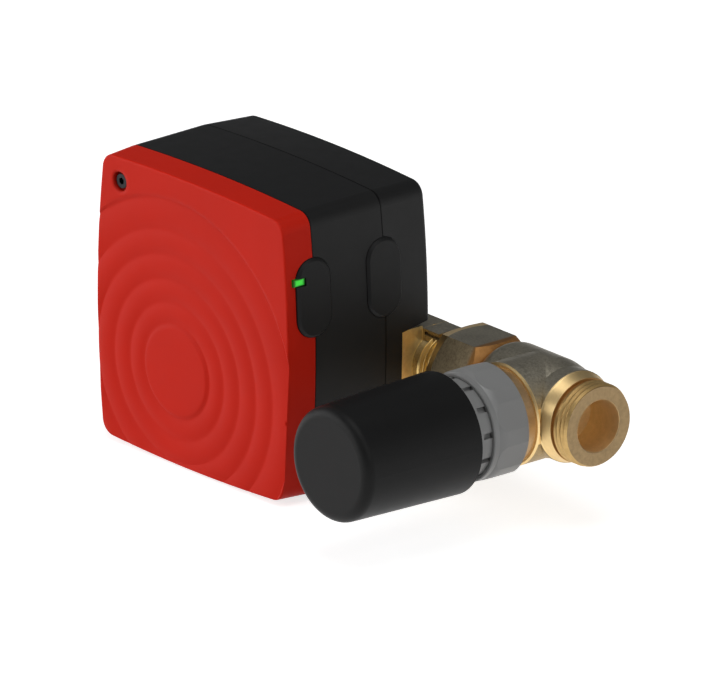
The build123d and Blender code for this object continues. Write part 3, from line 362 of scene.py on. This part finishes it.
def forged_brass(name, *finishes, tilt=None):
    """Forged brass with a sand-rough tarnished skin, greyer on top where a reflection of the dim room
    above is painted, and brighter where it is machined.

    A finish is a mask's function, a colour, how far it varies, and its lowest and highest roughness.
    tilt is a mask's function and a slope: there the surface is shaded as if it leant to the left.
    """
    speck_size = 0.7
    speck_share = 0.7
    cloud_size = 7
    tool_line_width = 0.25
    cut_stain_size = 1.6
    skin_roughness = (0.38, 0.54)
    relief_step = 0.01
    skin_relief = 3.0
    cut_relief = 0.4
    painted_reflection_slope = 0.55
    painted_reflection_fade = 0.3
    g = Finish(name)
    speck = g.noise(speck_size, detail=4, rough=0.65)
    fine_part = g.math("MULTIPLY", speck, speck_share)
    slow_part = g.math("MULTIPLY", g.noise(cloud_size, detail=3), 1 - speck_share)
    stains = g.math("ADD", fine_part, slow_part)

    def skin(colour, darkest, lightest):
        """The tarnished skin's tone, from its darkest stains to its lightest."""
        middle = linear(colour)
        return g.ramp(stains, (0.36, shade(middle, darkest)), (0.5, middle), (0.64, shade(middle, lightest)))

    facing = g.facing()
    # Faces that look up get a greyer skin: a painted reflection of the dim room above them
    upward = g.add("ShaderNodeSeparateXYZ", {0: facing}).outputs["Z"]
    painted_top_reflection = g.above(upward, painted_reflection_slope, painted_reflection_fade)
    tone = g.mix_light(painted_top_reflection, skin((170, 146, 102), 0.62, 1.3), skin((172, 165, 148), 0.72, 1.2))
    gloss = g.between(speck, *skin_roughness)
    height = g.math("MULTIPLY", speck, skin_relief)
    tool_lines = g.noise(tool_line_width, detail=3, rough=0.6, place=g.scaled(1, line_stretch, line_stretch))
    cut_stains = g.noise(cut_stain_size, detail=4, rough=0.6)
    for where, colour, vary, roughness in finishes:
        mask = where(g)
        tone = g.mix_light(mask, tone, g.varied(cut_stains, linear(colour), vary, spread=0.15))
        gloss = g.mix(mask, gloss, g.between(tool_lines, *roughness))
        height = g.mix(mask, height, g.math("MULTIPLY", tool_lines, cut_relief))
    leant = None
    if tilt:
        where, slope = tilt
        left = g.add("ShaderNodeCombineXYZ", {0: g.math("MULTIPLY", where(g), -slope)}).outputs[0]
        leant = g.add("ShaderNodeVectorMath", {0: facing, 1: left}, operation="ADD").outputs[0]
    normal = g.bump(height, relief_step, below=leant)
    return g.surface(Base_Color=tone, Metallic=1.0, Roughness=gloss, Normal=normal)


def turned_metal(name, colour, roughness, feed=0.3, depth=0.01, axis="X", vary=0.12):
    """Machined metal: fine tool lines round an axis, and a little grain.

    feed and depth are the tool lines' width and depth, and vary is how far the tone varies.
    """
    stain_size = 1.2
    grain_size = 0.5
    smoother = 0.05
    rougher = 0.07
    g = Finish(name)
    stretches = [1 if letter == axis else line_stretch for letter in "XYZ"]
    lines = g.noise(feed, detail=3, rough=0.6, place=g.scaled(*stretches))
    stains = g.noise(stain_size, detail=4, rough=0.6)
    tone = g.varied(stains, linear(colour), vary, spread=0.15)
    gloss = g.between(lines, roughness - smoother, roughness + rougher)
    grain = g.noise(grain_size, detail=3, rough=0.6)
    normal = g.bump(grain, depth / 2, below=g.bump(lines, depth))
    return g.surface(Base_Color=tone, Metallic=1.0, Roughness=gloss, Normal=normal)


def glowing(name, colour, strength, middle=None, half=None):
    """A lit clear plastic: the glow varies a little inside it, and fades towards the edges of a window.

    middle and half are the window's place and half sizes across and up.
    """
    cloud_size = 1.2
    grain_size = 0.4
    grain_depth = 0.004
    g = Finish(name)
    light = linear(colour)
    tone = g.varied(g.noise(cloud_size), light, vary=0.1, spread=0.2)
    if middle:
        parts = []
        for letter, place, reach in zip("YZ", middle, half):
            away = g.math("ABSOLUTE", g.math("SUBTRACT", g.axis(letter), place * MM))
            parts.append(g.math("DIVIDE", away, reach * MM))
        edge = g.any_of(*parts)
        tone = g.ramp(edge, (0.0, shade(light, 1.15)), (0.55, light), (0.98, shade(light, 0.12)))
    normal = g.bump(g.noise(grain_size), grain_depth)
    return g.surface(
        Base_Color=tone, Roughness=0.25, Emission_Color=tone, Emission_Strength=strength, Normal=normal
    )


def from_pipe_axis(g):
    """Distance from the pipe's axis, in metres."""
    y = g.axis("Y")
    z = g.axis("Z")
    return g.math("SQRT", g.math("ADD", g.math("MULTIPLY", y, y), g.math("MULTIPLY", z, z)))


def valve_chamfer(g):
    """Chamfer round the hexagon's mouth, widest at its corners."""
    outside = g.math("SUBTRACT", from_pipe_axis(g), flats_radius * MM)
    farther = g.math("MULTIPLY", outside, mouth_chamfer_slope)
    return g.short_of(g.math("SUBTRACT", g.axis("X"), farther), mouth_chamfer_end)


def valve_machined(g):
    """Tail and outlet, mouth chamfer, and the rim of the boss."""
    rim = g.both(g.short_of(g.axis("Y"), boss_rim_y), g.beyond(g.axis("X"), boss_rim_x))
    return g.any_of(g.beyond(g.axis("X"), tail_machined_start), valve_chamfer(g), rim)


def valve_neck(g):
    """Groove between the hexagon and the chamber."""
    along = g.axis("X")
    return g.both(g.beyond(along, neck_start, neck_fade), g.short_of(along, neck_end))


def valve_threads(g):
    """Thread of the outlet."""
    return g.beyond(g.axis("X"), outlet_thread_start)


def valve_groove(g):
    """Run-out groove of the outlet's thread, whose darker colour is painted shade in the recess."""
    return g.band("X", *groove_shade)


def valve_bored(g):
    """Bore of the outlet."""
    return g.short_of(from_pipe_axis(g), outlet_bore + bore_skin)


def valve_faced(g):
    """End face of the outlet."""
    return g.beyond(g.axis("X"), outlet_face_start, outlet_face_fade)


def flow_threads(g):
    """Threads of both ports."""
    along = g.axis("X")
    port = g.beyond(along, flow_middle + port_thread_start)
    inlet = g.short_of(along, flow_middle - port_thread_start)
    return g.any_of(port, inlet)


def flow_bored(g):
    """Bore of the flow body."""
    return g.short_of(from_pipe_axis(g), port_bore + bore_skin)


def flow_faced(g):
    """The end planes of the square bar."""
    inner, outer = (flow_end + shift for shift in flow_end_shade)
    right = g.band("X", flow_middle + inner, flow_middle + outer)
    left = g.band("X", flow_middle - outer, flow_middle - inner)
    return g.any_of(right, left)


def inside_cover_edges(g):
    """The cover's face, but for a margin along its edges."""
    across = g.band("X", flow_middle - cover_soft_half, flow_middle + cover_soft_half, cover_soft_fade)
    return g.both(across, g.band("Z", *cover_soft_z, cover_soft_fade))


by_slot = {
    "red_plastic": plastic(
        "red_plastic", (202, 30, 8), roughness=0.5, specular=0.13, grain=0.5, depth=0.01, vary=0.03,
        soft=(cover_soft_radius, inside_cover_edges),
    ),
    "black_plastic": plastic(
        "black_plastic", (26, 26, 26), roughness=0.5, specular=0.2, grain=0.5, depth=0.01, vary=0.05
    ),
    "cap_plastic": plastic(
        "cap_plastic", (25, 25, 25), roughness=0.44, specular=0.13, grain=0.6, depth=0.008, vary=0.05
    ),
    "grey_plastic": plastic(
        "grey_plastic", (136, 136, 135), roughness=0.32, specular=0.5, grain=0.4, depth=0.012, vary=0.04
    ),
    "component_plastic": plastic(
        "component_plastic", (40, 40, 44), roughness=0.45, specular=0.4, grain=0.4, depth=0.01, vary=0.06
    ),
    "terminal_plastic": plastic(
        "terminal_plastic", (52, 120, 70), roughness=0.45, specular=0.4, grain=0.4, depth=0.01, vary=0.06
    ),
    "board_laminate": plastic(
        "board_laminate", (24, 92, 52), roughness=0.4, specular=0.5, grain=0.6, depth=0.01, vary=0.1
    ),
    "rubber": plastic("rubber", (32, 32, 32), roughness=0.7, specular=0.3, grain=0.4, depth=0.02, vary=0.15),
    "heater_ceramic": plastic(
        "heater_ceramic", (206, 200, 188), roughness=0.6, specular=0.4, grain=0.4, depth=0.02, vary=0.06
    ),
    "light_guide": glowing("light_guide", (58, 205, 62), 0.62, light_middle, light_half),
    "lamp": glowing("lamp", (120, 220, 120), 0.5),
    "cast_brass": forged_brass(
        "cast_brass",
        (valve_machined, (244, 212, 152), 0.03, (0.36, 0.42)),
        (valve_neck, (168, 122, 72), 0.12, (0.46, 0.54)),
        (valve_threads, (196, 163, 107), 0.08, (0.38, 0.48)),
        # Groove: a darker colour as painted shade in the recess
        (valve_groove, (182, 140, 86), 0.05, (0.5, 0.6)),
        (valve_bored, (228, 200, 153), 0.05, (0.56, 0.64)),
        (valve_faced, (152, 129, 95), 0.12, (0.46, 0.56)),
        tilt=(valve_chamfer, mouth_chamfer_lean),
    ),
    "turned_brass": turned_metal("turned_brass", (186, 156, 118), roughness=0.44, depth=0.003, vary=0.05),
    "steel": turned_metal("steel", (150, 150, 152), roughness=0.35, axis="Y"),
    "spring_steel": turned_metal("spring_steel", (165, 166, 170), roughness=0.3, feed=0.2, depth=0.006),
    "plunger_metal": turned_metal("plunger_metal", (170, 171, 172), roughness=0.36, axis="Y"),
    "shield_metal": turned_metal("shield_metal", (176, 176, 172), roughness=0.38),
}

# Black housing plastic with painted shade in the gaps of its two joints
housing_black = plastic(
    "housing_plastic", (26, 26, 26), roughness=0.5, specular=0.2, grain=0.5, depth=0.01, vary=0.05,
    gap_shades=(rear_gap_shade, front_gap_shade),
)
flow_brass = forged_brass(
    "flow_brass",
    (flow_threads, (250, 214, 138), 0.06, (0.34, 0.44)),
    (flow_bored, (216, 188, 142), 0.05, (0.56, 0.64)),
    (flow_faced, (252, 222, 160), 0.08, (0.46, 0.56)),
)
rib_brass = forged_brass("rib_brass")

by_node = {part["node"]: by_slot[part["material_slot"]] for part in frame["record"]["subparts"]}
by_node["cover_screw"] = turned_metal("dark_steel", (48, 48, 50), roughness=0.42, axis="Y")
by_node["flow_body"] = flow_brass
by_node["middle_housing"] = housing_black
by_node["rear_shell"] = housing_black


def dress(obj, material):
    """Gives an object one material."""
    obj.data.materials.clear()
    obj.data.materials.append(material)


for node, obj in nodes.items():
    dress(obj, by_node[node])


def piece(name, mesh, node, body="unit"):
    """A new object with the finish of a CAD node. It rides on a body, unless that is None."""
    obj = bpy.data.objects.new(name, mesh)
    bpy.context.scene.collection.objects.link(obj)
    dress(obj, by_node[node])
    if body:
        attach(obj, body)
    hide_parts(node)
    return obj


def soften(mesh, angle=32):
    """Smooth shading that breaks at edges sharper than an angle."""
    mesh.shade_smooth()
    mesh.set_sharp_from_angle(angle=math.radians(angle))


def without_ends(name, node, cuts, within):
    """Copy of a CAD node without what lies past planes across the pipe, within a radius of its axis.

    A cut is a plane's place and the side that goes: 1 towards the outlet, and -1 away from it.
    """
    mesh = nodes[node].data.copy()
    mesh.name = name
    work = bmesh.new()
    work.from_mesh(mesh)
    for place, side in cuts:
        bmesh.ops.bisect_plane(
            work, geom=work.verts[:] + work.edges[:] + work.faces[:], dist=least_edge * MM,
            plane_co=(place * MM, 0, 0), plane_no=(side, 0, 0),
        )
        past = []
        for face in work.faces:
            centre = face.calc_center_median()
            if side * (centre.x - place * MM) > 0 and math.hypot(centre.y, centre.z) < within * MM:
                past.append(face)
        bmesh.ops.delete(work, geom=past, context="FACES")
    work.to_mesh(mesh)
    work.free()
    piece(name, mesh, node)


def thread_height(turn):
    """Height of a rounded thread, from 0 at the root to 1 at the crest, by the part of a turn."""
    turn %= 1.0
    stretches = zip(thread_profile, thread_profile[1:])
    (start, low), (end, high) = next(stretch for stretch in stretches if turn <= stretch[1][0])
    return low + (high - low) * (turn - start) / (end - start)


def threaded_end(name, node, before, after, start, end, root, crest, lead, lead_radius, columns):
    """Hollow end of a pipe piece: plain rings of (place, radius) before and after a thread.

    The thread goes from start to end, and over the lead it narrows to a radius at its end.
    """
    length = abs(end - start)
    out = 1 if end > start else -1

    def thread_radius(gone, around):
        """Radius some way along the thread, at a part of a turn round it."""
        height = thread_height(gone / thread_pitch - around)
        height *= min(gone / (thread_rise * thread_pitch), 1.0)
        limit = lead_radius + (crest - lead_radius) * min((length - gone) / lead, 1.0)
        return min(root + (crest - root) * height, max(limit, root))

    def thread_ring(turns):
        """Ring along the thread's helix, some turns from its start."""
        ring = []
        for column in range(columns + 1):
            around = column / columns
            gone = min(max((turns + around) * thread_pitch, 0.0), length)
            ring.append((start + out * gone, thread_radius(gone, around)))
        return ring

    rings = [[entry] * (columns + 1) for entry in before]
    for turn in range(-1, math.ceil(length / thread_pitch) + 1):
        rings += [thread_ring(turn + phase) for phase, _ in thread_profile[:-1]]
    rings += [[entry] * (columns + 1) for entry in after]
    verts = []
    for ring in rings:
        for column, (x, radius) in enumerate(ring):
            angle = 2 * math.pi * column / columns
            verts.append((x * MM, radius * math.cos(angle) * MM, radius * math.sin(angle) * MM))
    faces = []
    width = columns + 1
    for row in range(len(rings) - 1):
        for column in range(columns):
            corner = row * width + column
            faces.append((corner, corner + 1, corner + width + 1, corner + width))
    mesh = bpy.data.meshes.new(name)
    mesh.from_pydata(verts, [], faces)
    work = bmesh.new()
    work.from_mesh(mesh)
    bmesh.ops.remove_doubles(work, verts=work.verts, dist=weld_gap * MM)
    bmesh.ops.dissolve_degenerate(work, edges=work.edges, dist=least_edge * MM)
    bmesh.ops.recalc_face_normals(work, faces=work.faces)
    work.to_mesh(mesh)
    work.free()
    soften(mesh)
    piece(name, mesh, node)


def outlet():
    """The valve body with a threaded outlet and a tail that narrows a little towards it."""
    outlet_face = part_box("valve_body")[1].x / MM
    without_ends("valve_body_forging", "valve_body", [(tail_start, 1)], tail_cut_radius)
    groove = [(groove_start, groove_radius), (outlet_thread_start, groove_radius)]
    threaded_end(
        "valve_outlet", "valve_body",
        before=[(tail_start, outlet_bore)] + tail_shoulder + tail_band + groove,
        after=[
            (outlet_face, outlet_lead_radius),
            (outlet_face, outlet_bore + outlet_bore_edge),
            (outlet_face - outlet_bore_edge, outlet_bore),
            (tail_start, outlet_bore),
        ],
        start=outlet_thread_start, end=outlet_face, root=outlet_root, crest=outlet_crest,
        lead=outlet_lead, lead_radius=outlet_lead_radius, columns=128,
    )


def ports():
    """The flow body with a threaded port at each end."""
    low = flow_middle - inlet_neck_cut
    high = flow_middle + port_neck_cut
    without_ends("flow_body_forging", "flow_body", [(low, -1), (high, 1)], flow_cut_radius)
    for name, out, neck in (("flow_port", 1, high), ("flow_inlet", -1, low)):
        start = flow_middle + out * port_thread_start
        end = flow_middle + out * flow_reach
        threaded_end(
            name, "flow_body",
            before=[(neck, port_bore), (neck, port_neck_radius), (start, port_neck_radius)],
            after=[(end, port_lead_radius), (end, port_bore), (neck, port_bore)],
            start=start, end=end, root=port_root, crest=port_crest,
            lead=port_lead, lead_radius=port_lead_radius, columns=80,
        )


def top_rib():
    """Rib on top of the flow body's neck: a plate over a narrower web, with softened edges."""
    outline = rib_side + [(-y, z) for y, z in reversed(rib_side)]
    work = bmesh.new()
    ends = []
    for x in (flow_middle + rib_start, flow_middle + rib_end):
        ends.append([work.verts.new(Vector((x, y, z)) * MM) for y, z in outline])
    work.faces.new(ends[0])
    work.faces.new(list(reversed(ends[1])))
    for step in range(len(outline)):
        after = (step + 1) % len(outline)
        work.faces.new((ends[0][step], ends[1][step], ends[1][after], ends[0][after]))
    bmesh.ops.recalc_face_normals(work, faces=work.faces)
    bmesh.ops.bevel(work, geom=work.edges, offset=rib_edge * MM, segments=2, affect="EDGES")
    mesh = bpy.data.meshes.new("flow_rib")
    work.to_mesh(mesh)
    work.free()
    soften(mesh)
    dress(piece("flow_rib", mesh, "flow_body"), rib_brass)


def giving_springs():
    """Copies of the springs with meshes of their own: three ride on the unit, the valve's one on none."""
    for name, node, joint, axis in (
        ("drive_spring", "main_spring", "plunger_slide", 1),
        ("front_push_spring", "front_latch_spring", "front_latch_press", 0),
        ("rear_push_spring", "rear_latch_spring", "rear_latch_press", 0),
    ):
        spring = piece(name, nodes[node].data.copy(), node)
        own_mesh(spring)
    spring = piece("lift_spring", nodes["return_spring"].data.copy(), "return_spring", None)
    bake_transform(spring)


def camera():
    """The photograph's view, which is parallel."""
    azimuth = math.radians(view_azimuth)
    elevation = math.radians(view_elevation)
    back = Vector((
        math.sin(azimuth) * math.cos(elevation),
        -math.cos(azimuth) * math.cos(elevation),
        math.sin(elevation),
    ))
    data = bpy.data.cameras.new("camera")
    data.type = "ORTHO"
    data.ortho_scale = photo_width / pixels_to_a_metre
    data.clip_start = 0.1
    data.clip_end = 100
    obj = bpy.data.objects.new("camera", data)
    obj.rotation_mode = "QUATERNION"
    obj.rotation_quaternion = (-back).to_track_quat("-Z", "Y")
    obj.location = (Vector(view_middle) + back * view_distance) * MM
    bpy.context.scene.collection.objects.link(obj)
    bpy.context.scene.camera = obj


def lamp(name, direction, distance, width, height, power):
    """A soft light that looks at the middle of the part. Its distance and sizes are in metres."""
    data = bpy.data.lights.new(name, "AREA")
    data.shape = "RECTANGLE"
    data.size = width
    data.size_y = height
    data.energy = power
    towards = Vector(direction).normalized()
    obj = bpy.data.objects.new(name, data)
    obj.location = Vector(lit_place) * MM + towards * distance
    obj.rotation_mode = "QUATERNION"
    obj.rotation_quaternion = towards.to_track_quat("Z", "Y")
    bpy.context.scene.collection.objects.link(obj)


def floor():
    """A wide pale floor just under the part. It looks white and keeps the shadow.

    It glows for what the camera, a gloss or a clear piece looks at, and not for the light that falls.
    """
    material = bpy.data.materials.new("floor")
    g = Graph(material)
    path = g.add("ShaderNodeLightPath").outputs
    seen = g.any_of(path["Is Camera Ray"], path["Is Glossy Ray"], path["Is Transmission Ray"])
    glow = g.add("ShaderNodeEmission", {"Strength": g.math("MULTIPLY", seen, floor_glow)})
    diffuse = g.add("ShaderNodeBsdfDiffuse", {"Color": (floor_tone, floor_tone, floor_tone, 1)})
    both = g.add("ShaderNodeAddShader", {0: diffuse.outputs[0], 1: glow.outputs[0]})
    g.add("ShaderNodeOutputMaterial", {"Surface": both.outputs[0]})
    mesh = bpy.data.meshes.new("floor")
    reach = floor_reach * MM
    level = cad_box[0].z - floor_gap * MM
    corners = [(-reach, -reach, level), (reach, -reach, level), (reach, reach, level), (-reach, reach, level)]
    mesh.from_pydata(corners, [], [(0, 1, 2, 3)])
    mesh.materials.append(material)
    obj = bpy.data.objects.new("floor", mesh)
    bpy.context.scene.collection.objects.link(obj)


def world():
    """A dim grey room with a pale band at the horizon, which low views see as their background."""
    studio = bpy.data.worlds.new("studio")
    bpy.context.scene.world = studio
    g = Graph(studio)
    direction = g.add("ShaderNodeTexCoord").outputs["Generated"]
    slope = g.add("ShaderNodeSeparateXYZ", {0: direction}).outputs["Z"]
    room = g.ramp(slope, (band_top, band_light), (room_start, room_light))
    back = g.add("ShaderNodeBackground", {"Color": room})
    g.add("ShaderNodeOutputWorld", {"Surface": back.outputs[0]})


outlet()
ports()
top_rib()
giving_springs()

bpy.context.scene.view_settings.view_transform = "Standard"
camera()
floor()
world()
lamp("key", direction=(-0.6, -0.78, 0.28), distance=1.4, width=2.0, height=1.0, power=15)
lamp("top", direction=(0.2, -0.1, 1.0), distance=1.4, width=1.0, height=1.0, power=6.5)
lamp("side", direction=(0.85, -0.05, 0.5), distance=1.3, width=0.8, height=0.8, power=2.4)
lamp("back", direction=(0.72, 0.66, 0.2), distance=1.4, width=1.4, height=0.7, power=1.5)

bpy.context.view_layer.update()
